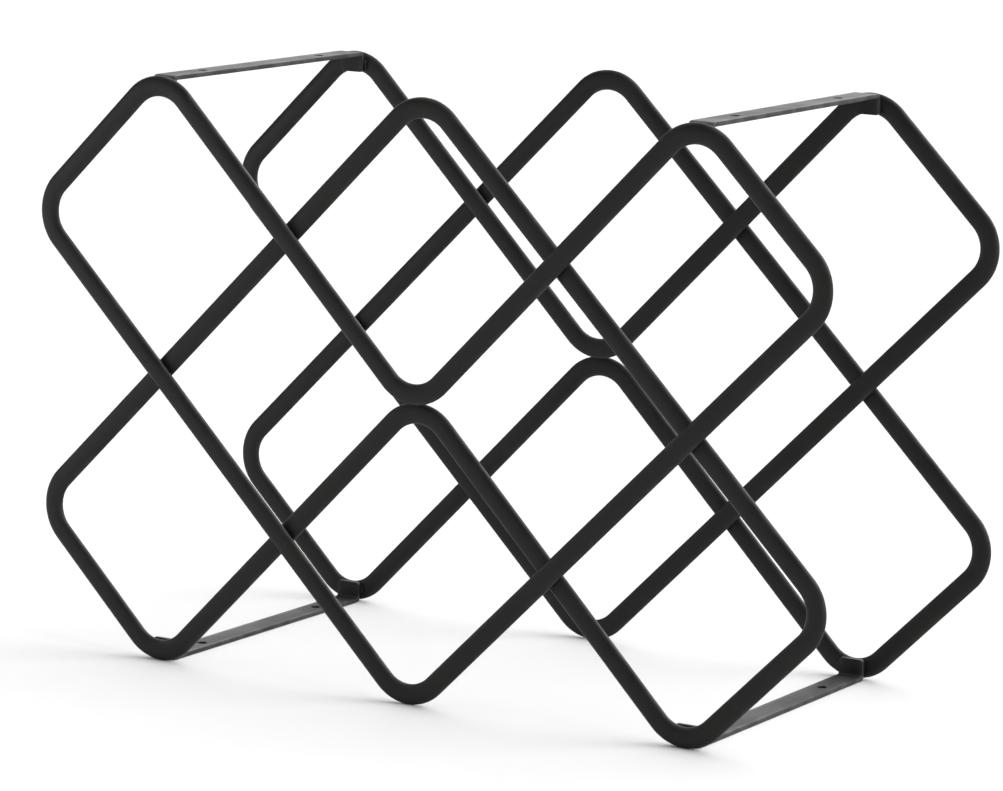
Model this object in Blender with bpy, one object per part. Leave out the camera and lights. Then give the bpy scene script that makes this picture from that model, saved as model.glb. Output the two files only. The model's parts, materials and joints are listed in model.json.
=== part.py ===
"""Countertop wine rack for ten bottles, bent from flattened steel rod.

Two upright frames stand one behind the other, joined by four flat cross strips.
Each frame is a pair of closed rod loops: a heart, and the same heart upside down,
lying flat against its back. Every rod runs at 45 degrees or very near it, so the
two loops cross in a lattice of square cells standing on their corners. A bottle
lies front to back through each cell, and two more lie in the notches on top.
Small welds hold the loops to each other and the strips to the loops.

Frame: metres, +Z up, +X across the row of cells, the front faces -Y. The origin
is on the floor under the middle of the rack.
"""

import math

import bmesh
import bpy
from mathutils import Matrix, Vector

# ------------------------------------------------------------------ dimensions

CELL_HALF = 0.074  # half the diagonal of a cell, the step of the lattice
FRAME_SPACING = 0.172  # front frame to rear frame, middle to middle

ROD_WIDE = 0.010  # the flattened rod, seen from the front
ROD_DEEP = 0.004  # the flattened rod, front to back
BEND_RADIUS = 0.0195  # every bend, on the middle line of the rod
CLEARANCE = 0.0003  # between pieces that touch
NOTCH_LAP = 0.0004  # how far the two hearts lap where their notches meet

STRIP_WIDE = 0.013
STRIP_THICK = 0.0022
STRIP_TAB = 0.0105  # height of the bent end that stands against the rod
STRIP_BEND = 0.0035  # outer radius of the bend between strip and tab
TAB_CORNER = 0.0015  # rounding of the tab's free corners
HOLE_ACROSS = 0.0048  # screw hole through the strip
HOLE_FROM_FRAME = 0.035  # hole to the middle of the nearer frame

WELD_RADIUS = 0.0006
WELD_AT_CROSSING = 0.005  # length of the weld where two rods cross
WELD_AT_TAB = 0.0045  # length of the weld beside a tab
WELD_TAB_DEPTH = 0.0065  # middle of that weld, from the outside of the rod

EDGE_FACETS = 6  # around each rounded edge of the rod
BEND_FACETS = 8  # along each bend of the rod
STRIP_FACETS = 4  # around each bend of a strip
HOLE_FACETS = 20
WELD_FACETS = 8

SMOOTH_ANGLE = math.radians(35)
COAT_COLOUR = (0.018, 0.018, 0.019, 1.0)
COAT_ROUGHNESS = 0.45
COAT_METALLIC = 0.0

# ------------------------------------------------------- positions that follow

HALF_ROD = ROD_WIDE / 2
# Rounding a square corner pulls the rod back from the corner by this much.
CORNER_CUT = BEND_RADIUS * (math.sqrt(2) - 1)
TOP = 4 * CELL_HALF - 2 * CORNER_CUT + ROD_WIDE
MIDDLE = TOP / 2
# The heart lies half a layer in front of the frame's middle, its twin behind.
LAYER = (ROD_DEEP + CLEARANCE) / 2
STRIP_LONG = FRAME_SPACING - ROD_DEEP - 2 * CLEARANCE


def notch_depth():
    """Drop of the notch's sharp corner below mid height.

    The rounded notch ends NOTCH_LAP / 2 below mid height. Its corner is a little
    tighter than square, so each pass takes the slope from the drop before it.
    """
    drop = 0.0
    for _ in range(6):
        slope = math.atan2(2 * CELL_HALF + drop, 2 * CELL_HALF)
        cut = BEND_RADIUS * (1 / math.cos(slope) - 1)
        drop = cut - HALF_ROD + NOTCH_LAP / 2
    return drop


# Sharp corners of the heart about the middle of its frame, across and up,
# anticlockwise from the left side.
STEP = CELL_HALF
LEFT_SIDE = (-3 * STEP, STEP)
FOOT = (0.0, -2 * STEP)
RIGHT_SIDE = (3 * STEP, STEP)
RIGHT_TOP = (2 * STEP, 2 * STEP)
NOTCH = (0.0, -notch_depth())
LEFT_TOP = (-2 * STEP, 2 * STEP)
HEART = (LEFT_SIDE, FOOT, RIGHT_SIDE, RIGHT_TOP, NOTCH, LEFT_TOP)


def flipped(corner):
    """The corner of the upside-down heart that matches one of the heart."""
    return (corner[0], -corner[1])


# -------------------------------------------------------------------- helpers


def clear_scene():
    for thing in list(bpy.data.objects):
        bpy.data.objects.remove(thing, do_unlink=True)


def black_coat(name):
    """Satin black powder coat for one piece."""
    material = bpy.data.materials.new(name + "_coat")
    material.use_nodes = True
    shader = material.node_tree.nodes["Principled BSDF"]
    shader.inputs["Base Color"].default_value = COAT_COLOUR
    shader.inputs["Roughness"].default_value = COAT_ROUGHNESS
    shader.inputs["Metallic"].default_value = COAT_METALLIC
    return material


def add_object(name, data, parent=None):
    thing = bpy.data.objects.new(name, data)
    bpy.context.scene.collection.objects.link(thing)
    thing.parent = parent
    return thing


def add_piece(name, data, parent):
    """An object with a material of its own, though its shape may be shared."""
    piece = add_object(name, data, parent)
    if not data.materials:
        data.materials.append(None)
    piece.material_slots[0].link = "OBJECT"
    piece.material_slots[0].material = black_coat(name)
    return piece


def finish_mesh(name, shape):
    """Turns a bmesh into a mesh with crisp edges and smooth round faces."""
    bmesh.ops.recalc_face_normals(shape, faces=shape.faces)
    mesh = bpy.data.meshes.new(name)
    shape.to_mesh(mesh)
    shape.free()
    mesh.shade_smooth()
    mesh.set_sharp_from_angle(angle=SMOOTH_ANGLE)
    return mesh


def arc(middle, radius, start, sweep, facets):
    """Points along an arc, both ends included. Angles in radians."""
    points = []
    for step in range(facets + 1):
        angle = start + sweep * step / facets
        across = middle[0] + radius * math.cos(angle)
        up = middle[1] + radius * math.sin(angle)
        points.append((across, up))
    return points


# ------------------------------------------------------------------ rod loops


def rounded_corner(before, corner, after):
    """The bend that replaces a sharp corner, as points on an arc."""
    back = (Vector(before) - Vector(corner)).normalized()
    on = (Vector(after) - Vector(corner)).normalized()
    half_inside = back.angle(on) / 2
    toward = (back + on).normalized()
    middle = Vector(corner) + toward * BEND_RADIUS / math.sin(half_inside)
    turn = math.pi - 2 * half_inside
    facing = math.atan2(-toward.y, -toward.x)
    if back.cross(on) > 0:
        turn = -turn
    return arc(middle, BEND_RADIUS, facing - turn / 2, turn, BEND_FACETS)


def closed_path(name, points):
    """A closed flat curve through the points."""
    path = bpy.data.curves.new(name, "CURVE")
    path.dimensions = "2D"
    path.fill_mode = "NONE"
    spline = path.splines.new("POLY")
    spline.points.add(len(points) - 1)
    for spot, (across, up) in zip(spline.points, points):
        spot.co = (across, up, 0.0, 1.0)
    spline.use_cyclic_u = True
    spline.use_smooth = True
    return path


def rod_section():
    """Guide for the sweep: the flattened rod cut across, two flats and two rounds."""
    edge = ROD_DEEP / 2
    reach = HALF_ROD - edge
    right = arc((reach, 0.0), edge, -math.pi / 2, math.pi, EDGE_FACETS)
    left = arc((-reach, 0.0), edge, math.pi / 2, math.pi, EDGE_FACETS)
    # Clockwise, so that the swept faces point outwards.
    outline = list(reversed(right + left))
    guide = add_object("rod_section", closed_path("rod_section", outline))
    guide.hide_render = True
    guide.display_type = "WIRE"
    return guide


def heart_loop(guide):
    """The closed heart, swept from the rod's section along its bent path."""
    points = []
    for index, corner in enumerate(HEART):
        before = HEART[index - 1]
        after = HEART[(index + 1) % len(HEART)]
        points += rounded_corner(before, corner, after)
    path = closed_path("heart_loop", points)
    path.bevel_mode = "OBJECT"
    path.bevel_object = guide
    return path


def build_loops(frame_name, frame, loop):
    """Stands one heart upright and turns its twin upside down behind it."""
    heart = add_piece(frame_name + "_heart", loop, frame)
    heart.location = (0.0, -LAYER, MIDDLE)
    heart.rotation_euler = (math.pi / 2, 0.0, 0.0)
    twin = add_piece(frame_name + "_inverted_heart", loop, frame)
    twin.location = (0.0, LAYER, MIDDLE)
    twin.rotation_euler = (math.pi / 2, math.pi, 0.0)


# --------------------------------------------------------------- cross strips


def strip_mesh():
    """Flat strip with both ends bent down, its top face at height zero."""
    half = STRIP_LONG / 2
    inner = STRIP_BEND - STRIP_THICK
    quarter = math.pi / 2
    front = (-half + STRIP_BEND, -STRIP_BEND)
    rear = (half - STRIP_BEND, -STRIP_BEND)
    outline = [(-half, -STRIP_TAB)]
    outline += arc(front, STRIP_BEND, math.pi, -quarter, STRIP_FACETS)
    outline += arc(rear, STRIP_BEND, quarter, -quarter, STRIP_FACETS)
    outline.append((half, -STRIP_TAB))
    outline.append((half - STRIP_THICK, -STRIP_TAB))
    outline += arc(rear, inner, 0.0, quarter, STRIP_FACETS)
    outline += arc(front, inner, quarter, quarter, STRIP_FACETS)
    outline.append((-half + STRIP_THICK, -STRIP_TAB))

    shape = bmesh.new()
    side = -STRIP_WIDE / 2
    ring = [shape.verts.new((side, along, up)) for along, up in outline]
    face = shape.faces.new(ring)
    grown = bmesh.ops.extrude_face_region(shape, geom=[face])
    far = [item for item in grown["geom"] if isinstance(item, bmesh.types.BMVert)]
    bmesh.ops.translate(shape, verts=far, vec=(STRIP_WIDE, 0.0, 0.0))

    corners = [edge for edge in shape.edges if is_tab_corner(edge)]
    bmesh.ops.bevel(
        shape,
        geom=corners,
        offset=TAB_CORNER,
        segments=3,
        profile=0.5,
        affect="EDGES",
        material=-1,
    )
    return finish_mesh("cross_strip", shape)


def is_tab_corner(edge):
    """True for the short edges through the strip at a tab's free end."""
    low = max(vert.co.z for vert in edge.verts) < -STRIP_TAB + CLEARANCE
    run = edge.verts[0].co - edge.verts[1].co
    return low and abs(run.y) > STRIP_THICK / 2


def hole_cutter_mesh():
    """Two short drills, one near each end of the strip."""
    shape = bmesh.new()
    reach = FRAME_SPACING / 2 - HOLE_FROM_FRAME
    for along in (-reach, reach):
        bmesh.ops.create_cone(
            shape,
            cap_ends=True,
            segments=HOLE_FACETS,
            radius1=HOLE_ACROSS / 2,
            radius2=HOLE_ACROSS / 2,
            depth=3 * STRIP_THICK,
            matrix=Matrix.Translation((0.0, along, -STRIP_THICK / 2)),
        )
    return finish_mesh("hole_cutter", shape)


def build_strip(name, rack, shape, drills, place, upside_down):
    strip = add_piece(name, shape, rack)
    strip.location = place
    if upside_down:
        strip.rotation_euler = (0.0, math.pi, 0.0)
    cutter = add_object(name + "_drills", drills, strip)
    cutter.hide_render = True
    cutter.display_type = "WIRE"
    holes = strip.modifiers.new("screw holes", "BOOLEAN")
    holes.object = cutter
    holes.operation = "DIFFERENCE"
    holes.solver = "EXACT"


# ---------------------------------------------------------------------- welds


def weld_mesh(name, length):
    """A short round bead along X, rounded off at both ends."""
    shape = bmesh.new()
    bmesh.ops.create_cone(
        shape,
        cap_ends=True,
        segments=WELD_FACETS,
        radius1=WELD_RADIUS,
        radius2=WELD_RADIUS,
        depth=length,
        matrix=Matrix.Rotation(math.pi / 2, 4, "Y"),
    )
    rims = [edge for edge in shape.edges if is_rim(edge)]
    bmesh.ops.bevel(
        shape,
        geom=rims,
        offset=WELD_RADIUS / 2,
        segments=1,
        profile=0.5,
        affect="EDGES",
        material=-1,
    )
    return finish_mesh(name, shape)


def is_rim(edge):
    """True for the edges around a bead's two ends."""
    run = edge.verts[0].co - edge.verts[1].co
    return abs(run.x) < CLEARANCE


def crossing(first, second):
    """Where two rods cross, each given by the sharp corners at its ends."""
    start = Vector(first[0])
    run = Vector(first[1]) - start
    other = Vector(second[0])
    other_run = Vector(second[1]) - other
    share = (other - start).cross(other_run) / run.cross(other_run)
    return start + run * share


def weld_beside_edge():
    """Distance from a rod's middle line to a weld tucked beside its round edge.

    The weld lies on the face of the rod in front, CLEARANCE off it and off the
    round edge of the rod behind.
    """
    edge = ROD_DEEP / 2
    apart = edge + CLEARANCE + WELD_RADIUS
    depth = edge - WELD_RADIUS
    return HALF_ROD - edge + math.sqrt(apart**2 - depth**2)


def build_crossing_welds(frame_name, frame, bead):
    """One weld at each of the six crossings, under the inverted heart's rod."""
    twin = [flipped(corner) for corner in HEART]
    twin_left, twin_peak, twin_right, twin_right_foot, twin_notch, twin_left_foot = twin
    pairs = {
        "left": ((LEFT_SIDE, FOOT), (twin_left, twin_peak)),
        "upper_left": ((LEFT_TOP, NOTCH), (twin_left, twin_peak)),
        "upper_right": ((NOTCH, RIGHT_TOP), (twin_peak, twin_right)),
        "right": ((FOOT, RIGHT_SIDE), (twin_peak, twin_right)),
        "lower_right": ((FOOT, RIGHT_SIDE), (twin_notch, twin_right_foot)),
        "lower_left": ((LEFT_SIDE, FOOT), (twin_left_foot, twin_notch)),
    }
    rod_face = -LAYER + ROD_DEEP / 2
    for where, (front_rod, back_rod) in pairs.items():
        along = (Vector(back_rod[1]) - Vector(back_rod[0])).normalized()
        under = Vector((along.y, -along.x))
        if under.y > 0:
            under = -under
        spot = crossing(front_rod, back_rod) + under * weld_beside_edge()
        weld = add_piece(frame_name + "_weld_" + where, bead, frame)
        weld.location = (
            spot.x,
            rod_face + CLEARANCE + WELD_RADIUS,
            MIDDLE + spot.y,
        )
        weld.rotation_euler = (0.0, -math.atan2(along.y, along.x), 0.0)


def build_tab_weld(name, frame, bead, face, outward, across, height):
    """A weld down a tab's inner side, in the corner that it makes with the rod."""
    beside = STRIP_WIDE / 2 + CLEARANCE + WELD_RADIUS
    weld = add_piece(name, bead, frame)
    weld.location = (
        across - math.copysign(beside, across),
        face + outward * (CLEARANCE + WELD_RADIUS),
        height,
    )
    weld.rotation_euler = (0.0, math.pi / 2, 0.0)


# ----------------------------------------------------------------------- rack


def build_rack():
    rack = add_object("wine_rack", None)
    front = add_object("front_frame", None, rack)
    front.location = (0.0, -FRAME_SPACING / 2, 0.0)
    rear = add_object("rear_frame", None, rack)
    rear.location = (0.0, FRAME_SPACING / 2, 0.0)
    frames = {"front": front, "rear": rear}

    loop = heart_loop(rod_section())
    crossing_bead = weld_mesh("crossing_weld", WELD_AT_CROSSING)
    tab_bead = weld_mesh("tab_weld", WELD_AT_TAB)
    for frame_name, frame in frames.items():
        build_loops(frame_name, frame, loop)
        build_crossing_welds(frame_name, frame, crossing_bead)

    shape = strip_mesh()
    drills = hole_cutter_mesh()
    for side, across in (("left", -2 * STEP), ("right", 2 * STEP)):
        upper = "top_" + side + "_strip"
        lower = "bottom_" + side + "_strip"
        build_strip(upper, rack, shape, drills, (across, -LAYER, TOP), False)
        build_strip(lower, rack, shape, drills, (across, LAYER, 0.0), True)
        for frame_name, frame in frames.items():
            outward = 1 if frame_name == "front" else -1
            reach = outward * ROD_DEEP / 2
            build_tab_weld(
                frame_name + "_weld_" + upper,
                frame,
                tab_bead,
                reach - LAYER,
                outward,
                across,
                TOP - WELD_TAB_DEPTH,
            )
            build_tab_weld(
                frame_name + "_weld_" + lower,
                frame,
                tab_bead,
                reach + LAYER,
                outward,
                across,
                WELD_TAB_DEPTH,
            )


clear_scene()
build_rack()
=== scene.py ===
# %% [markdown]
# # A countertop wine rack in satin black
#
# This notebook dresses a welded steel wine rack. A measured model of the rack is
# already made: it fixes every size and every place, and it stays untouched.
# Here each piece gets a finer surface, made the way a rack maker would make it:
# rod is flattened and bent round a pin, strip is cut, punched and folded, and the
# joints are welded. A black powder coat, a pale floor and soft light follow.
#
# The first cell empties Blender's start-up scene and opens the measured model.
# Everything in it stands in metres, with the front of the rack towards -Y and the
# floor at height zero.

import json
import math

import bmesh
import bpy
from mathutils import Matrix, Vector

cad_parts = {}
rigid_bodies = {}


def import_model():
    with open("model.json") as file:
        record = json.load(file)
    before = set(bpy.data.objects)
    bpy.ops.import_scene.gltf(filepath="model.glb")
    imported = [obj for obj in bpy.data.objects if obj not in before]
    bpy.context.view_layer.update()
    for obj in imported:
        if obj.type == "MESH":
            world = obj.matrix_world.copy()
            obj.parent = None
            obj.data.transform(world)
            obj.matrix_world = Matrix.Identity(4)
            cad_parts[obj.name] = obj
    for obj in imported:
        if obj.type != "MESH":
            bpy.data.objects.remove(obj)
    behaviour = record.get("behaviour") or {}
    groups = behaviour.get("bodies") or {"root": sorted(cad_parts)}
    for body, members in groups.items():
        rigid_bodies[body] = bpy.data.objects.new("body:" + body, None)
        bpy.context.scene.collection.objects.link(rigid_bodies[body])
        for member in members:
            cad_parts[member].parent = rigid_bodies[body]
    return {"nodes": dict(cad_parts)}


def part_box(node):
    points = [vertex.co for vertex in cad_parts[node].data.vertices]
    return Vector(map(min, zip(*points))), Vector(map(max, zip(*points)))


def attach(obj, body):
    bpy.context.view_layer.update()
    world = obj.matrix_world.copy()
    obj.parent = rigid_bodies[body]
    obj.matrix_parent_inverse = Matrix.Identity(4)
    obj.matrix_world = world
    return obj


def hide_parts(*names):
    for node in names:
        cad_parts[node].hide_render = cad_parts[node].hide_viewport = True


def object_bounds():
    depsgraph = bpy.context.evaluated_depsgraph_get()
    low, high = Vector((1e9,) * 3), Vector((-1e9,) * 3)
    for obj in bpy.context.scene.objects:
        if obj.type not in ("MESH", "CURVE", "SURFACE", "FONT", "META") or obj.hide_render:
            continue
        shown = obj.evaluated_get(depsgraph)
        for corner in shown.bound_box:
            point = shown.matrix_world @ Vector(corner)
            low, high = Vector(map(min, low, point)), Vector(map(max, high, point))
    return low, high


for leftover in list(bpy.data.objects):
    bpy.data.objects.remove(leftover)
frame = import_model()
cad_box = [list(corner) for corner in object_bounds()]
print("measured nodes:", len(frame["nodes"]))
print("measured box:", cad_box)

# %% [markdown]
# ## Sizes to work from
#
# The flattened rod, its bends and the strips have plain workshop sizes, so they
# are named once here. Sizes that the measured model already holds, such as the
# overall width or the depth of the rod, are read from it. That way the fine
# pieces can't drift away from the ones they replace.
#
# A square corner that is rounded pulls back from its tip. `CORNER_CUT` is that
# amount. The rack is six half cells wide between such tips, and its outside width
# falls short of that by two cuts and gains the width of one rod.

# %% Name the workshop sizes
MM = 0.001
ROD_WIDE = 10 * MM
BEND_RADIUS = 19.5 * MM
NOTCH_LAP = 0.4 * MM
STRIP_THICK = 2.2 * MM
STRIP_BEND = 3.5 * MM
TAB_CORNER = 1.5 * MM
HOLE_ACROSS = 4.8 * MM
HOLE_FROM_FRAME = 35 * MM
CORNER_CUT = BEND_RADIUS * (math.sqrt(2) - 1)

heart_low, heart_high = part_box("front_heart")
ROD_DEEP = heart_high.y - heart_low.y
WIDTH = heart_high.x - heart_low.x
STEPS_WIDE = 6
STEP = (WIDTH + 2 * CORNER_CUT - ROD_WIDE) / STEPS_WIDE
TOP = cad_box[1][2]
MIDDLE = TOP / 2
print("half a cell, in mm:", round(STEP / MM, 2))
print("rod depth, in mm:", round(ROD_DEEP / MM, 2))

# %% [markdown]
# ## Putting a finished shape in the scene
#
# Every piece ends the same way: its bmesh becomes a mesh with smooth faces and
# crisp edges, the object rides on the rack's one rigid body, and it takes the
# place of the measured node. A little helper does that, so that each later cell
# is only about shape. It also sorts the pieces by the coat they will get.

# %% Hand a finished shape over
pieces = {"rod_coat": [], "strip_coat": [], "weld_coat": []}


def hand_over(node, shape, slot, crisp=35):
    """Turns a bmesh into the piece that stands for one measured node.

    Edges that turn by more than `crisp` degrees stay sharp.
    """
    mesh = bpy.data.meshes.new("fine_" + node)
    shape.to_mesh(mesh)
    shape.free()
    mesh.shade_smooth()
    mesh.set_sharp_from_angle(angle=math.radians(crisp))
    piece = bpy.data.objects.new("fine_" + node, mesh)
    bpy.context.scene.collection.objects.link(piece)
    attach(piece, "root")
    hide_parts(node)
    pieces[slot].append(piece)
    return piece


print("coats to fill:", list(pieces))

# %% [markdown]
# ## The flattened rod
#
# The rod starts as round wire. Rolls squeeze it to about 10 by 4 mm, which leaves
# two broad faces that fall away softly into rounded edges. It could be drawn point
# by point, but it is simpler to do what the rolls do: take a circle and squash it.
#
# A circle squashed evenly is an ellipse, which is too thin near its ends. Raising
# each coordinate to a power below one first fills the corners out. A fullness of 2
# would give the ellipse and a very large one a box, and this rod lies between.
#
# Two numbers are stored on every point of the section: how far across the face it
# sits and how deep. Extruding copies them along the whole rod, so the coat can
# later go greyer towards the edges, part wear and part a painted highlight, and
# the faint rolling lines can follow each bend.

# %% Cut the rod across
ROUND_POINTS = 40
ROD_FULLNESS = 2.2


def squeezed(value, half_size):
    """One coordinate of the unit circle, filled out and scaled to size."""
    return math.copysign(abs(value) ** (2 / ROD_FULLNESS), value) * half_size


def rod_section(shape):
    """The flattened rod cut across, as a ring of edges in X and Y."""
    bmesh.ops.create_circle(shape, cap_ends=False, radius=1, segments=ROUND_POINTS)
    across = shape.verts.layers.float.new("across")
    deep = shape.verts.layers.float.new("deep")
    for vert in shape.verts:
        vert[across] = squeezed(vert.co.x, 1)
        vert[deep] = squeezed(vert.co.y, 1)
        vert.co.x = vert[across] * ROD_WIDE / 2
        vert.co.y = vert[deep] * ROD_DEEP / 2
    return list(shape.edges)


print("points round the rod:", ROUND_POINTS)

# %% [markdown]
# ## Feeding and bending
#
# A rod bender does two things over and over: it feeds the rod straight on, and it
# bends it round a pin. Extruding the open end of the tube is the feed, and a spin
# about the pin's axis is the bend. A curve with a bevel would be quicker to write,
# but this keeps the section square to the rod all the way round.

# %% Feed and bend the rod
BEND_STEPS = 20
FORWARD = Vector((0, -1, 0))


def feed(shape, ring, travel):
    """Pushes the open end of the rod straight on."""
    grown = bmesh.ops.extrude_edge_only(shape, edges=ring)["geom"]
    verts = [item for item in grown if isinstance(item, bmesh.types.BMVert)]
    bmesh.ops.translate(shape, verts=verts, vec=travel)
    return [item for item in grown if isinstance(item, bmesh.types.BMEdge)]


def bend(shape, ring, pin, turn):
    """Swings the open end round the pin, anticlockwise from the front."""
    spun = bmesh.ops.spin(
        shape,
        geom=ring,
        cent=pin,
        axis=FORWARD,
        angle=turn,
        steps=BEND_STEPS,
        use_merge=False,
        use_duplicate=False,
    )
    last = spun["geom_last"]
    return [item for item in last if isinstance(item, bmesh.types.BMEdge)]


print("steps in each bend:", BEND_STEPS)

# %% [markdown]
# ## The heart
#
# Every loop of the rack is one heart: two shoulders, a long V below, and a notch
# on top. Its sharp corners sit on a lattice whose step is half a cell. The notch is
# the exception. It is pushed down until its rounded tip just laps the tip of the
# upside-down heart, at half the height of the rack, so its two legs are a shade
# steeper than the rest. How far a corner's rounding pulls back from its tip
# depends on that slope, so the two are worked out in a few rounds that settle.

# %% Set out the heart
SETTLING_ROUNDS = 6


def notch_depth():
    """Drop of the notch's sharp corner below the middle of the rack."""
    drop = 0.0
    for _ in range(SETTLING_ROUNDS):
        slope = math.atan2(2 * STEP + drop, 2 * STEP)
        cut = BEND_RADIUS * (1 / math.cos(slope) - 1)
        drop = cut - ROD_WIDE / 2 + NOTCH_LAP / 2
    return drop


NOTCH = (0, -notch_depth())
FOOT = (0, -2 * STEP)
RIGHT_SIDE, LEFT_SIDE = (3 * STEP, STEP), (-3 * STEP, STEP)
RIGHT_TOP, LEFT_TOP = (2 * STEP, 2 * STEP), (-2 * STEP, 2 * STEP)
HEART = [RIGHT_SIDE, RIGHT_TOP, NOTCH, LEFT_TOP, LEFT_SIDE, FOOT]
FLIPPED = [(across, -up) for across, up in reversed(HEART)]
print("notch corner below the middle, in mm:", round(-NOTCH[1] / MM, 2))

# %% [markdown]
# ## Bending a whole loop
#
# The bender starts in the middle of a straight run and takes the corners in turn,
# anticlockwise. At each one it feeds as far as the start of the bend, then swings
# round a pin that sits inside the corner. After the last corner it feeds back to
# where it began, and merging the two ends is the butt weld that closes the loop.

# %% Bend a closed loop
SAME_POINT = 0.01 * MM


def in_rack(point, depth):
    """A point of the flat drawing, stood up in the rack."""
    return Vector((point[0], depth, MIDDLE + point[1]))


def bent_loop(corners, depth):
    """The rod bent through the corners, in the upright plane at that depth."""
    spots = [Vector(corner) for corner in corners]
    start = (spots[-1] + spots[0]) / 2
    travel = (spots[0] - spots[-1]).normalized()
    shape = bmesh.new()
    ring = rod_section(shape)
    outward = Vector((travel.y, 0, -travel.x))
    onward = Vector((travel.x, 0, travel.y))
    stand = Matrix((outward, -FORWARD, onward)).transposed().to_4x4()
    stand.translation = in_rack(start, depth)
    bmesh.ops.transform(shape, matrix=stand, verts=shape.verts)

    here = start
    for index, corner in enumerate(spots):
        leaving = (spots[(index + 1) % len(spots)] - corner).normalized()
        turn = math.atan2(travel.cross(leaving), travel.dot(leaving))
        reach = BEND_RADIUS * math.tan(abs(turn) / 2)
        bend_start = corner - travel * reach
        inside = Vector((-travel.y, travel.x)) * math.copysign(BEND_RADIUS, turn)
        run = bend_start - here
        ring = feed(shape, ring, Vector((run.x, 0, run.y)))
        ring = bend(shape, ring, in_rack(bend_start + inside, depth), turn)
        here = corner + leaving * reach
        travel = leaving
    run = start - here
    feed(shape, ring, Vector((run.x, 0, run.y)))
    bmesh.ops.remove_doubles(shape, verts=shape.verts, dist=SAME_POINT)
    bmesh.ops.recalc_face_normals(shape, faces=shape.faces)
    return shape


print("corners in a loop:", len(HEART))

# %% [markdown]
# ## Two frames, four loops
#
# The heart lies nearer the front in both frames, and its twin is turned upside
# down and laid flat against its back. Each measured node says how deep in the
# rack its loop stands.

# %% Bend the four loops
for frame_name in ("front", "rear"):
    for loop_name, corners in (("heart", HEART), ("inverted_heart", FLIPPED)):
        node = frame_name + "_" + loop_name
        low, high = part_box(node)
        shape = bent_loop(corners, (low.y + high.y) / 2)
        open_edges = sum(1 for edge in shape.edges if not edge.is_manifold)
        print(node, "faces:", len(shape.faces), "open edges:", open_edges)
        hand_over(node, shape, "rod_coat")

# %% [markdown]
# ## Cross strips, first as flat blanks
#
# Four flat strips tie the two frames together. A workshop makes them flat: it
# shears a blank, rounds the four free corners, punches two holes, breaks the sharp
# edges, and only then folds the ends. Working in that order is easier here too,
# because a hole is simple to cut through a flat blank.
#
# A bend uses up less length than its outside corner suggests. The blank is laid
# out along the middle of its thickness, where the metal neither stretches nor
# squeezes.

# %% Lay out the blank
strip_low, strip_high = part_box("top_left_strip")
STRIP_WIDE = strip_high.x - strip_low.x
STRIP_LONG = strip_high.y - strip_low.y
STRIP_TALL = strip_high.z - strip_low.z
FOLD_RADIUS = STRIP_BEND - STRIP_THICK / 2
FOLD_LENGTH = FOLD_RADIUS * math.pi / 2
FLAT_HALF = STRIP_LONG / 2 - STRIP_BEND
TAB_FLAT = STRIP_TALL - STRIP_BEND
BLANK_HALF = FLAT_HALF + FOLD_LENGTH + TAB_FLAT
FRAMES_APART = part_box("rear_heart")[0].y - heart_low.y
HOLE_REACH = FRAMES_APART / 2 - HOLE_FROM_FRAME
CORNER_SEGMENTS = 8
print("blank length, in mm:", round(2 * BLANK_HALF / MM, 2))
print("holes, in mm from the middle:", round(HOLE_REACH / MM, 2))


def strip_blank():
    """The flat blank with rounded corners, its middle at the origin."""
    shape = bmesh.new()
    bmesh.ops.create_cube(shape, size=1)
    size = (STRIP_WIDE, 2 * BLANK_HALF, STRIP_THICK)
    bmesh.ops.scale(shape, vec=size, verts=shape.verts)
    upright = [edge for edge in shape.edges if edge.calc_length() < 2 * STRIP_THICK]
    bmesh.ops.bevel(
        shape,
        geom=upright,
        offset=TAB_CORNER,
        segments=CORNER_SEGMENTS,
        profile=0.5,
        affect="EDGES",
        material=-1,
    )
    return shape


# %% [markdown]
# ## Punching the holes
#
# A Boolean modifier does the punching. The punch and the blank are objects only for
# this step: the cut shape is read back into a bmesh, and both are removed. Then
# every sharp edge is broken with a small bevel, the rims of the holes included.
# Sharp means a turn of more than one radian, so the rounded corners, which turn a
# few degrees at a time, are passed over.

# %% Punch and deburr the blank
HOLE_SEGMENTS = 32
PUNCH_LONG = 3 * STRIP_THICK
SHARP_TURN = 1.0
EDGE_BREAK = 0.35 * MM
BREAK_SEGMENTS = 3


def loose_object(name, shape):
    """An object straight from a bmesh, which stands for no node."""
    mesh = bpy.data.meshes.new(name)
    shape.to_mesh(mesh)
    shape.free()
    helper = bpy.data.objects.new(name, mesh)
    bpy.context.scene.collection.objects.link(helper)
    return helper


def punched_blank():
    """The blank with its two holes, and with all its sharp edges broken."""
    punch_shape = bmesh.new()
    for along in (-HOLE_REACH, HOLE_REACH):
        bmesh.ops.create_cone(
            punch_shape,
            cap_ends=True,
            segments=HOLE_SEGMENTS,
            radius1=HOLE_ACROSS / 2,
            radius2=HOLE_ACROSS / 2,
            depth=PUNCH_LONG,
            matrix=Matrix.Translation((0, along, 0)),
        )
    blank = loose_object("blank", strip_blank())
    punch = loose_object("punch", punch_shape)
    cut = blank.modifiers.new("punch", "BOOLEAN")
    cut.object = punch
    cut.solver = "EXACT"
    shape = bmesh.new()
    shape.from_object(blank, bpy.context.evaluated_depsgraph_get())
    for helper in (blank, punch):
        bpy.data.objects.remove(helper)

    sharp = [
        edge
        for edge in shape.edges
        if edge.is_manifold and edge.calc_face_angle() > SHARP_TURN
    ]
    bmesh.ops.bevel(
        shape,
        geom=sharp,
        offset=EDGE_BREAK,
        segments=BREAK_SEGMENTS,
        profile=0.5,
        affect="EDGES",
        material=-1,
    )
    return shape


print("hole segments:", HOLE_SEGMENTS)

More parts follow.
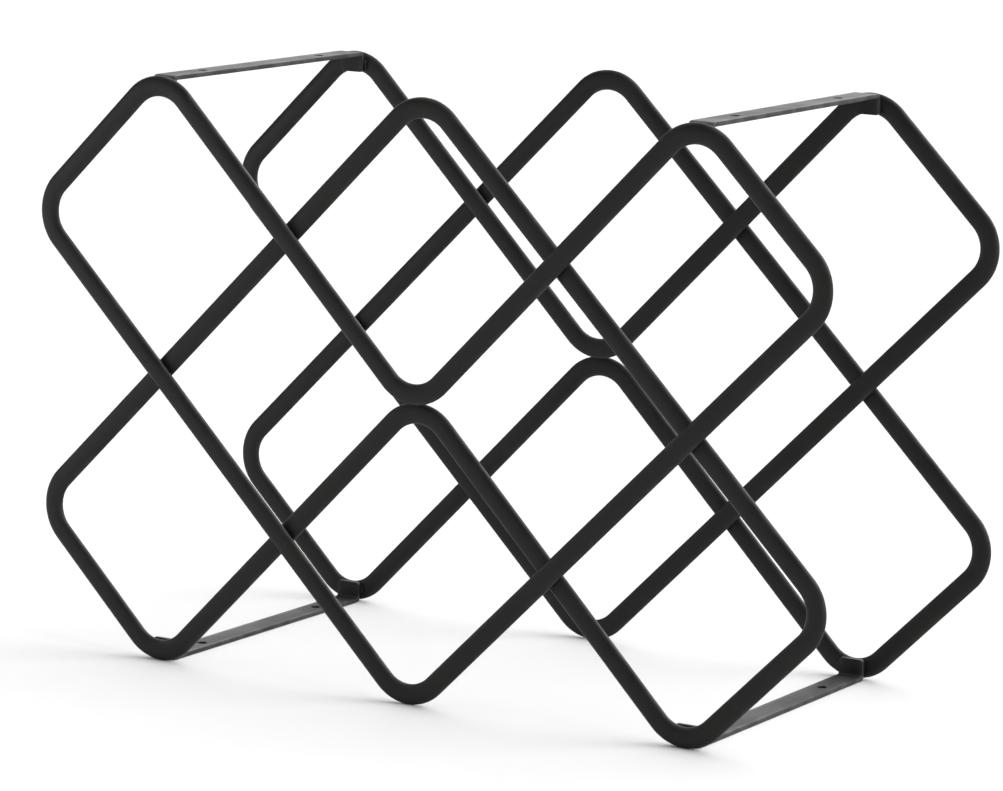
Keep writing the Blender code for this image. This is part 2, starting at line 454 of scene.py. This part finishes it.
# %% [markdown]
# ## Folding the ends
#
# A press brake folds the blank over a rounded edge, so the fold is an arc and not
# a crease. First the blank is sliced across wherever the arc will be, which gives
# the metal places to turn. Then each point past the start of the fold moves on to
# the arc, and what lies beyond it comes out as the upright tab.
#
# Before it is folded, each point stores its place on the flat blank. The coat uses
# that later, so the rolling lines run along the strip and round the fold.

# %% Fold the blank
FOLD_SLICES = 10


def folded(point):
    """Where a point of the flat blank ends up, tabs down."""
    beyond = abs(point.y) - FLAT_HALF
    if beyond <= 0:
        return point.copy()
    radius = FOLD_RADIUS + point.z
    angle = min(beyond / FOLD_RADIUS, math.pi / 2)
    straight = max(0, beyond - FOLD_LENGTH)
    along = FLAT_HALF + radius * math.sin(angle)
    up = radius * math.cos(angle) - FOLD_RADIUS - straight
    return Vector((point.x, math.copysign(along, point.y), up))


def strip_shape(upside_down, middle):
    """One finished strip, with its outer face at the height of middle."""
    shape = punched_blank()
    for end in (-1, 1):
        for cut in range(FOLD_SLICES + 1):
            along = end * (FLAT_HALF + FOLD_LENGTH * cut / FOLD_SLICES)
            everything = shape.verts[:] + shape.edges[:] + shape.faces[:]
            bmesh.ops.bisect_plane(
                shape, geom=everything, plane_co=(0, along, 0), plane_no=(0, 1, 0)
            )
    across = shape.verts.layers.float.new("across")
    deep = shape.verts.layers.float.new("deep")
    for vert in shape.verts:
        vert[across] = vert.co.x / (STRIP_WIDE / 2)
        vert[deep] = vert.co.z / (STRIP_THICK / 2)
        vert.co = folded(vert.co)
    bmesh.ops.translate(shape, verts=shape.verts, vec=(0, 0, -STRIP_THICK / 2))
    if upside_down:
        turn = Matrix.Rotation(math.pi, 3, "Y")
        bmesh.ops.rotate(shape, verts=shape.verts, cent=(0, 0, 0), matrix=turn)
    bmesh.ops.translate(shape, verts=shape.verts, vec=middle)
    bmesh.ops.recalc_face_normals(shape, faces=shape.faces)
    return shape


print("fold radius at mid thickness, in mm:", round(FOLD_RADIUS / MM, 2))

# %% [markdown]
# ## Four strips
#
# All four strips are the same. The top two hang their tabs down, and the bottom
# two are turned over so that their tabs stand up. The measured node of each strip
# says where its outer face lies.
#
# A broken edge next to a broad face bends the light across the whole face, because
# smooth shading blends the two. A Weighted Normal modifier gives the broad face the
# say, so it looks as flat as it is.

# %% Make the four strips
BROADEST_WINS = 100

for side in ("left", "right"):
    for level in ("top", "bottom"):
        node = level + "_" + side + "_strip"
        low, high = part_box(node)
        middle = (low + high) / 2
        middle.z = high.z if level == "top" else low.z
        shape = strip_shape(level == "bottom", middle)
        piece = hand_over(node, shape, "strip_coat")
        flats = piece.modifiers.new("flat faces stay flat", "WEIGHTED_NORMAL")
        flats.keep_sharp = True
        flats.weight = BROADEST_WINS
        print(node, "faces:", len(piece.data.polygons))

# %% [markdown]
# ## Welds
#
# A small weld sits behind each crossing, and one beside each tab. Weld metal
# freezes in ripples, one behind the other, and its two ends are domed. A short
# tube whose rings swell and shrink gives that. Every size along it is a share of
# the bead's full radius, and each dome takes a sixth of the bead's length.

# %% Shape a weld bead
BEAD_SEGMENTS = 16
RIPPLES = 6
RINGS_IN_RIPPLE = 4
END_SIZE = 0.45
DOME_SIZE = 0.4
DOMES_IN_LENGTH = 6
RIPPLE_SIZE = 0.06


def bead_shape(length, radius):
    """A rippled bead along Z, its middle at the origin."""
    shape = bmesh.new()
    made = bmesh.ops.create_circle(
        shape, cap_ends=True, radius=radius * END_SIZE, segments=BEAD_SEGMENTS
    )
    bmesh.ops.translate(shape, verts=made["verts"], vec=(0, 0, -length / 2))
    ring = list(shape.edges)
    size = END_SIZE
    rings = RINGS_IN_RIPPLE * RIPPLES
    for step in range(1, rings + 1):
        share = step / rings
        rise = min(1, DOMES_IN_LENGTH * share, DOMES_IN_LENGTH * (1 - share))
        ripple = RIPPLE_SIZE * math.cos(2 * math.pi * RIPPLES * share)
        swell = rise * DOME_SIZE + END_SIZE + ripple if step < rings else END_SIZE
        ring = feed(shape, ring, Vector((0, 0, length / rings)))
        verts = {vert for edge in ring for vert in edge.verts}
        grow = swell / size
        bmesh.ops.scale(shape, verts=list(verts), vec=(grow, grow, 1))
        size = swell
    bmesh.ops.holes_fill(shape, edges=ring, sides=0)
    bmesh.ops.recalc_face_normals(shape, faces=shape.faces)
    return shape


print("ripples in a bead:", RIPPLES)

# %% [markdown]
# ## Laying the beads
#
# Each bead lies in the box of its measured node. Beside a tab it runs upright, along
# the tab's side. At a crossing it slants along one of the two rods: one way on the
# left half of the rack, and the other way on the right. A slanting bead needs some
# of its box's height for its own thickness, so that much comes off its length.

# %% Lay the weld beads
def lean(node, span):
    """Which way a weld runs: upright beside a tab, slanting at a crossing."""
    if node.endswith("strip"):
        return Vector((0, 0, 1))
    slant = 1 if node.endswith("left") else -1
    return Vector((slant * span.x, 0, span.z)).normalized()


for node in sorted(frame["nodes"]):
    if "_weld_" not in node:
        continue
    low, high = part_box(node)
    span = high - low
    radius = span.y / 2
    run = lean(node, span)
    length = span.z / run.z - 2 * radius * abs(run.x)
    shape = bead_shape(length, radius)
    turn = Vector((0, 0, 1)).rotation_difference(run).to_matrix()
    bmesh.ops.rotate(shape, verts=shape.verts, cent=(0, 0, 0), matrix=turn)
    bmesh.ops.translate(shape, verts=shape.verts, vec=(low + high) / 2)
    hand_over(node, shape, "weld_coat", crisp=60)
print("pieces made:", {slot: len(made) for slot, made in pieces.items()})

# %% [markdown]
# ## Helpers for wiring nodes
#
# Three finishes follow, and all are networks of nodes: noise textures, sums, and
# ranges stretched from one span of values to another. Each of those takes three or
# four lines to add and to connect, so each gets a short helper.
#
# Effects that the finishes share are kept in node groups. A group is built once,
# and every material that places it sets its own numbers on the group's sockets.

# %% Helpers for wiring nodes
def plug(tree, value, socket):
    """Connects an output to a socket, or sets the socket to a plain value."""
    if isinstance(value, bpy.types.NodeSocket):
        tree.links.new(value, socket)
    else:
        socket.default_value = value


def new_group(name, inputs, outputs):
    """An empty node group with named float or vector sockets."""
    group = bpy.data.node_groups.new(name, "ShaderNodeTree")
    for label, kind in inputs:
        group.interface.new_socket(label, in_out="INPUT", socket_type=kind)
    for label, kind in outputs:
        group.interface.new_socket(label, in_out="OUTPUT", socket_type=kind)
    start = group.nodes.new("NodeGroupInput")
    end = group.nodes.new("NodeGroupOutput")
    return group, start.outputs, end.inputs


def noise(tree, place, scale, detail):
    """A noise texture on a place, its value from 0 to 1."""
    node = tree.nodes.new("ShaderNodeTexNoise")
    node.inputs["Detail"].default_value = detail
    plug(tree, scale, node.inputs["Scale"])
    tree.links.new(place, node.inputs["Vector"])
    return node.outputs["Fac"]


def spread(tree, value, ends, onto=(0.0, 1.0)):
    """Maps a value from one range onto another, smoothly and clamped."""
    node = tree.nodes.new("ShaderNodeMapRange")
    node.interpolation_type = "SMOOTHSTEP"
    labels = ("From Min", "From Max", "To Min", "To Max")
    for label, number in zip(labels, (*ends, *onto)):
        node.inputs[label].default_value = number
    tree.links.new(value, node.inputs["Value"])
    return node.outputs["Result"]


def math_node(tree, operation, first, second):
    """One sum on two values, each a socket or a number."""
    node = tree.nodes.new("ShaderNodeMath")
    node.operation = operation
    plug(tree, first, node.inputs[0])
    plug(tree, second, node.inputs[1])
    return node.outputs["Value"]


NUMBER = "NodeSocketFloat"
PLACE = "NodeSocketVector"
print("node groups so far:", len(bpy.data.node_groups))

# %% [markdown]
# ## The grain of powder coat
#
# Powder coat is sprayed on dry and melts in an oven. It never flows out quite
# flat: the skin keeps a soft orange peel about a millimetre and a half across,
# with a much finer grain in it, and its depth of black drifts a little from place
# to place. All three finishes on this rack share that, so it is one node group
# that each material places with its own sizes.
#
# Noise on object coordinates is the plain way to make it. An image of a coat
# would repeat and would stretch round the bends; noise does neither.

# %% Build the grain group
GRAIN_SHARE = 0.3
FLECK_RANGE = (0.5, 0.75)
DRIFT_SCALE = 34.0
DRIFT_RANGE = (0.32, 0.68)

grain, given, result = new_group(
    "powder coat grain",
    [("Place", PLACE), ("Peel Scale", NUMBER), ("Grain Scale", NUMBER)],
    [("Height", NUMBER), ("Fleck", NUMBER), ("Cloud", NUMBER)],
)
peel = noise(grain, given["Place"], given["Peel Scale"], detail=1.0)
fine = noise(grain, given["Place"], given["Grain Scale"], detail=3.0)
shallow = math_node(grain, "MULTIPLY", fine, GRAIN_SHARE)
grain.links.new(math_node(grain, "ADD", peel, shallow), result["Height"])
grain.links.new(spread(grain, fine, FLECK_RANGE), result["Fleck"])
drift = noise(grain, given["Place"], DRIFT_SCALE, detail=3.0)
grain.links.new(spread(grain, drift, DRIFT_RANGE), result["Cloud"])
print("group made:", grain.name)

# %% [markdown]
# ## Rolling lines
#
# The rolls that flatten rod and strip leave faint lines, and these run along the
# metal, round every bend. Noise in space can't follow a bend. The two numbers
# stored on the section can: they stay the same all along a piece, so a noise read
# from them alone draws lines that run exactly with it.
#
# A little of the real place is mixed in from front to rear only. A rod stays at
# one depth and its lines don't change, but a strip runs from frame to frame, so
# its lines fade in and out on the way.

# %% Build the rolling-line group
LINE_FADE = (0.0, 0.35, 0.0)
LINE_RANGE = (0.35, 0.65)

rolling, given, result = new_group(
    "rolling lines",
    [("Across", NUMBER), ("Deep", NUMBER), ("Place", PLACE), ("Fineness", NUMBER)],
    [("Line", NUMBER)],
)
flat_place = rolling.nodes.new("ShaderNodeCombineXYZ")
rolling.links.new(given["Across"], flat_place.inputs["X"])
rolling.links.new(given["Deep"], flat_place.inputs["Y"])
fading = rolling.nodes.new("ShaderNodeVectorMath")
fading.operation = "MULTIPLY_ADD"
rolling.links.new(given["Place"], fading.inputs[0])
fading.inputs[1].default_value = LINE_FADE
rolling.links.new(flat_place.outputs["Vector"], fading.inputs[2])
line = noise(rolling, fading.outputs["Vector"], given["Fineness"], detail=2.0)
rolling.links.new(spread(rolling, line, LINE_RANGE), result["Line"])
print("group made:", rolling.name)

# %% [markdown]
# ## Edge wear and a painted edge highlight
#
# Bottles slide in and out over the rods, and the rack is dragged about by its
# strips. The coat is thinnest and proudest at the edges, so that is where it goes
# a shade greyer and shinier. The greyer colour is partly that wear and partly a
# painted highlight, which stands in for the light that the rounded edges catch. The
# mask grows towards the edge of the face, and a patchy noise breaks it up, so that
# it never looks like a drawn outline.

# %% Build the edge wear and painted highlight group
EDGE_RANGE = (0.55, 1.0)
PATCH_RANGE = (0.42, 0.62)
LEAST_RUB_AND_HIGHLIGHT = 0.15

# Greys the coat at both edges: partly wear, partly a painted highlight.
rubbed_and_highlit, given, result = new_group(
    "rubbed edges",
    [("Across", NUMBER), ("Place", PLACE), ("Patch Scale", NUMBER)],
    [("Mask", NUMBER)],
)
from_middle = math_node(rubbed_and_highlit, "ABSOLUTE", given["Across"], 0.0)
near_edge = spread(rubbed_and_highlit, from_middle, EDGE_RANGE)
patch = noise(rubbed_and_highlit, given["Place"], given["Patch Scale"], detail=4.0)
broken = spread(rubbed_and_highlit, patch, PATCH_RANGE, onto=(LEAST_RUB_AND_HIGHLIGHT, 1.0))
rubbed_and_highlit.links.new(math_node(rubbed_and_highlit, "MULTIPLY", near_edge, broken), result["Mask"])
print("group made:", rubbed_and_highlit.name)

# %% [markdown]
# ## Placing groups in a material
#
# A material needs three more helpers: one places a group and connects it, one
# reads a number stored on the mesh, and one mixes two colours.

# %% Helpers for the coats
def in_group(tree, group, wires, numbers):
    """Places a group in a material and connects it."""
    node = tree.nodes.new("ShaderNodeGroup")
    node.node_tree = group
    for label, value in (wires | numbers).items():
        plug(tree, value, node.inputs[label])
    return node.outputs


def stored(tree, label):
    """A number that the mesh carries on its points."""
    node = tree.nodes.new("ShaderNodeAttribute")
    node.attribute_name = label
    return node.outputs["Fac"]


def shade_between(tree, share, dark, light):
    """A colour between two, by a share from 0 to 1."""
    node = tree.nodes.new("ShaderNodeMix")
    node.data_type = "RGBA"
    colours_in = [item for item in node.inputs if item.type == "RGBA"]
    tree.links.new(share, node.inputs["Factor"])
    plug(tree, dark, colours_in[0])
    plug(tree, light, colours_in[1])
    return next(item for item in node.outputs if item.type == "RGBA")


print("groups to place:", [group.name for group in (grain, rolling, rubbed_and_highlit)])

# %% [markdown]
# ## A satin black coat
#
# A Principled shader does it all. Black coat has almost no colour of its own, so
# what is seen is mostly the reflection: roughness matters more than colour. The
# black drifts between a deep and a soft one, and goes greyer at the edges, partly
# from wear and partly as a painted highlight.
# Roughness drifts with it, rises along the rolling lines and falls where the coat
# is polished. The peel and the lines are shallow enough to leave to a bump.

# %% Mix a black coat
DEEP_BLACK = (0.0065, 0.0065, 0.0061, 1.0)
SOFT_BLACK = (0.0125, 0.0124, 0.0116, 1.0)
# Edge grey: partly wear, partly a painted highlight on the rounded edges.
RUBBED_AND_HIGHLIT_BLACK = (0.034, 0.0337, 0.032, 1.0)
COAT_GLOSS = 0.23
PEEL_SCALE = 680.0
GRAIN_SCALE = 2400.0
LINE_FINENESS = 7.0
PATCH_SCALE = 90.0
CLOUD_SHARE = 0.6
FLECK_SHARE = 0.4
SHINIEST = -0.04
DULLEST = 0.05
RUB_POLISH = 0.12
GROOVE_SHARE = 3
BUMP_HEIGHT = 0.02 * MM


def black_coat(name, satin, peel_depth, line_depth, rub_and_highlight):
    """One black coat: roughness, peel, lines, and edge wear with a painted highlight."""
    material = bpy.data.materials.new(name)
    material.use_nodes = True
    tree = material.node_tree
    shader = tree.nodes["Principled BSDF"]
    shader.inputs["Specular IOR Level"].default_value = COAT_GLOSS
    place = tree.nodes.new("ShaderNodeTexCoord").outputs["Object"]
    sizes = {"Peel Scale": PEEL_SCALE, "Grain Scale": GRAIN_SCALE}
    skin = in_group(tree, grain, {"Place": place}, sizes)
    across = stored(tree, "across")
    deep = stored(tree, "deep")
    wires = {"Across": across, "Deep": deep, "Place": place}
    lines = in_group(tree, rolling, wires, {"Fineness": LINE_FINENESS})
    wires = {"Across": across, "Place": place}
    edges = in_group(tree, rubbed_and_highlit, wires, {"Patch Scale": PATCH_SCALE})

    cloud = math_node(tree, "MULTIPLY", skin["Cloud"], CLOUD_SHARE)
    fleck = math_node(tree, "MULTIPLY", skin["Fleck"], FLECK_SHARE)
    softness = math_node(tree, "ADD", cloud, fleck)
    black = shade_between(tree, softness, DEEP_BLACK, SOFT_BLACK)
    # Greyer edges: partly wear, partly a painted highlight along them.
    worn_and_highlit = math_node(tree, "MULTIPLY", edges["Mask"], rub_and_highlight)
    colour = shade_between(tree, worn_and_highlit, black, RUBBED_AND_HIGHLIT_BLACK)
    tree.links.new(colour, shader.inputs["Base Color"])

    satin_range = (satin + SHINIEST, satin + DULLEST)
    rough = spread(tree, skin["Cloud"], (0.0, 1.0), onto=satin_range)
    lined = math_node(tree, "MULTIPLY", lines["Line"], line_depth)
    rough = math_node(tree, "ADD", rough, lined)
    polish = math_node(tree, "MULTIPLY", worn_and_highlit, RUB_POLISH)
    rough = math_node(tree, "SUBTRACT", rough, polish)
    tree.links.new(rough, shader.inputs["Roughness"])

    groove = math_node(tree, "MULTIPLY", lines["Line"], line_depth * GROOVE_SHARE)
    height = math_node(tree, "MULTIPLY", skin["Height"], peel_depth)
    bump = tree.nodes.new("ShaderNodeBump")
    bump.inputs["Distance"].default_value = BUMP_HEIGHT
    tree.links.new(math_node(tree, "ADD", height, groove), bump.inputs["Height"])
    tree.links.new(bump.outputs["Normal"], shader.inputs["Normal"])
    return material


print("coat gloss:", COAT_GLOSS)

# %% [markdown]
# ## Three coats of the same black
#
# The rods, the strips and the welds hang on one line and get one powder, but they
# don't look the same. The rods are satin with a soft peel. The strips are thinner
# stock with clearer rolling lines, which show as faint streaks where the light
# grazes them. The powder pools over a weld and melts smoother there.

# %% Coat the pieces
# The last number of each coat sets its edge wear and painted highlight.
coats = {
    "rod_coat": black_coat(
        "satin black rod", satin=0.46, peel_depth=1.0, line_depth=0.03, rub_and_highlight=0.5
    ),
    "strip_coat": black_coat(
        "satin black strip", satin=0.43, peel_depth=0.7, line_depth=0.09, rub_and_highlight=0.7
    ),
    "weld_coat": black_coat(
        "pooled black weld", satin=0.34, peel_depth=0.5, line_depth=0.0, rub_and_highlight=0.0
    ),
}
for slot, coated in pieces.items():
    for piece in coated:
        piece.data.materials.append(coats[slot])
print("coats mixed:", list(coats))

# %% [markdown]
# ## Floor
#
# The rack stands on a plain pale floor that runs out past the edge of the view, so
# that floor and background are one. The floor is not part of the rack.

# %% Lay the floor
FLOOR_SIZE = 60
FLOOR_TONE = 0.425
FLOOR_ROUGHNESS = 0.9

floor_shape = bmesh.new()
bmesh.ops.create_grid(floor_shape, x_segments=1, y_segments=1, size=FLOOR_SIZE / 2)
floor = loose_object("floor", floor_shape)
pale = bpy.data.materials.new("pale floor")
pale.use_nodes = True
paint = pale.node_tree.nodes["Principled BSDF"].inputs
paint["Base Color"].default_value = (FLOOR_TONE, FLOOR_TONE, FLOOR_TONE, 1)
paint["Roughness"].default_value = FLOOR_ROUGHNESS
floor.data.materials.append(pale)
print("floor tone:", FLOOR_TONE)

# %% [markdown]
# ## Light
#
# One broad, soft source does most of the lighting: a sun with a very wide disc,
# high on the right and a little behind. A sun lights the whole floor evenly, which
# a lamp nearby can't. The room adds the rest. It is bright behind the rack, to its
# right and overhead, and dark in front of it, so that the front of the rack stays
# black and its upper edges catch the light. A small soft card at the front left
# lifts that side a little.

# %% Light the room
SUN_STRENGTH = 4.6
SUN_SPREAD = 70
SUN_FROM = Vector((1.0, 0.55, 1.5))
ROOM_TONES = (0.12, 2.0)
BRIGHT_SIDE = Vector((0.45, 0.75, 0.48))
FACING_RANGE = (-0.5, 0.8)
CARD_PLACE = Vector((-0.75, -0.55, 0.25))
CARD_AIM = Vector((-0.15, 0, 0.15))
CARD_SIZE = 0.5
CARD_POWER = 0.9

sun_data = bpy.data.lights.new("broad soft light", "SUN")
sun_data.energy = SUN_STRENGTH
sun_data.angle = math.radians(SUN_SPREAD)
sun = bpy.data.objects.new("broad soft light", sun_data)
sun.rotation_euler = SUN_FROM.to_track_quat("Z", "Y").to_euler()
bpy.context.scene.collection.objects.link(sun)

card_data = bpy.data.lights.new("soft card", "AREA")
card_data.shape = "DISK"
card_data.size = CARD_SIZE
card_data.energy = CARD_POWER
card = bpy.data.objects.new("soft card", card_data)
card.matrix_world = Matrix.Translation(CARD_PLACE) @ (
    (CARD_PLACE - CARD_AIM).to_track_quat("Z", "Y").to_matrix().to_4x4()
)
bpy.context.scene.collection.objects.link(card)

room = bpy.data.worlds.new("white studio")
room.use_nodes = True
bpy.context.scene.world = room
tree = room.node_tree
direction = tree.nodes.new("ShaderNodeTexCoord").outputs["Generated"]
facing = tree.nodes.new("ShaderNodeVectorMath")
facing.operation = "DOT_PRODUCT"
facing.inputs[1].default_value = BRIGHT_SIDE
tree.links.new(direction, facing.inputs[0])
paleness = spread(tree, facing.outputs["Value"], FACING_RANGE, onto=ROOM_TONES)
tree.links.new(paleness, tree.nodes["Background"].inputs["Strength"])
tree.nodes["Background"].inputs["Color"].default_value = (1, 1, 1, 1)
bpy.context.scene.view_settings.view_transform = "Standard"
print("sun from:", SUN_FROM)

# %% [markdown]
# ## Camera
#
# The rack is seen from the front right and a little above, with a long lens from
# about two metres away, so that upright lines stay nearly upright and the two
# frames keep nearly the same size. The camera is turned a hair about its own axis.

# %% Set up the camera
CAMERA_PLACE = Vector((1.1069, -1.8297, 0.5093))
CAMERA_AIM = Vector((-0.0053, 0.0, 0.1366))
CAMERA_TWIST = 1.224
CAMERA_LENS = 159.74
CAMERA_SENSOR = 36
CAMERA_SEES = 200

camera_data = bpy.data.cameras.new("camera")
camera_data.lens = CAMERA_LENS
camera_data.sensor_width = CAMERA_SENSOR
camera_data.clip_end = CAMERA_SEES
camera = bpy.data.objects.new("camera", camera_data)
aim = (CAMERA_AIM - CAMERA_PLACE).to_track_quat("-Z", "Y").to_matrix()
aim = aim @ Matrix.Rotation(math.radians(CAMERA_TWIST), 3, "Z")
camera.matrix_world = Matrix.Translation(CAMERA_PLACE) @ aim.to_4x4()
bpy.context.scene.collection.objects.link(camera)
bpy.context.scene.camera = camera
print("distance to the rack:", round((CAMERA_AIM - CAMERA_PLACE).length, 3))
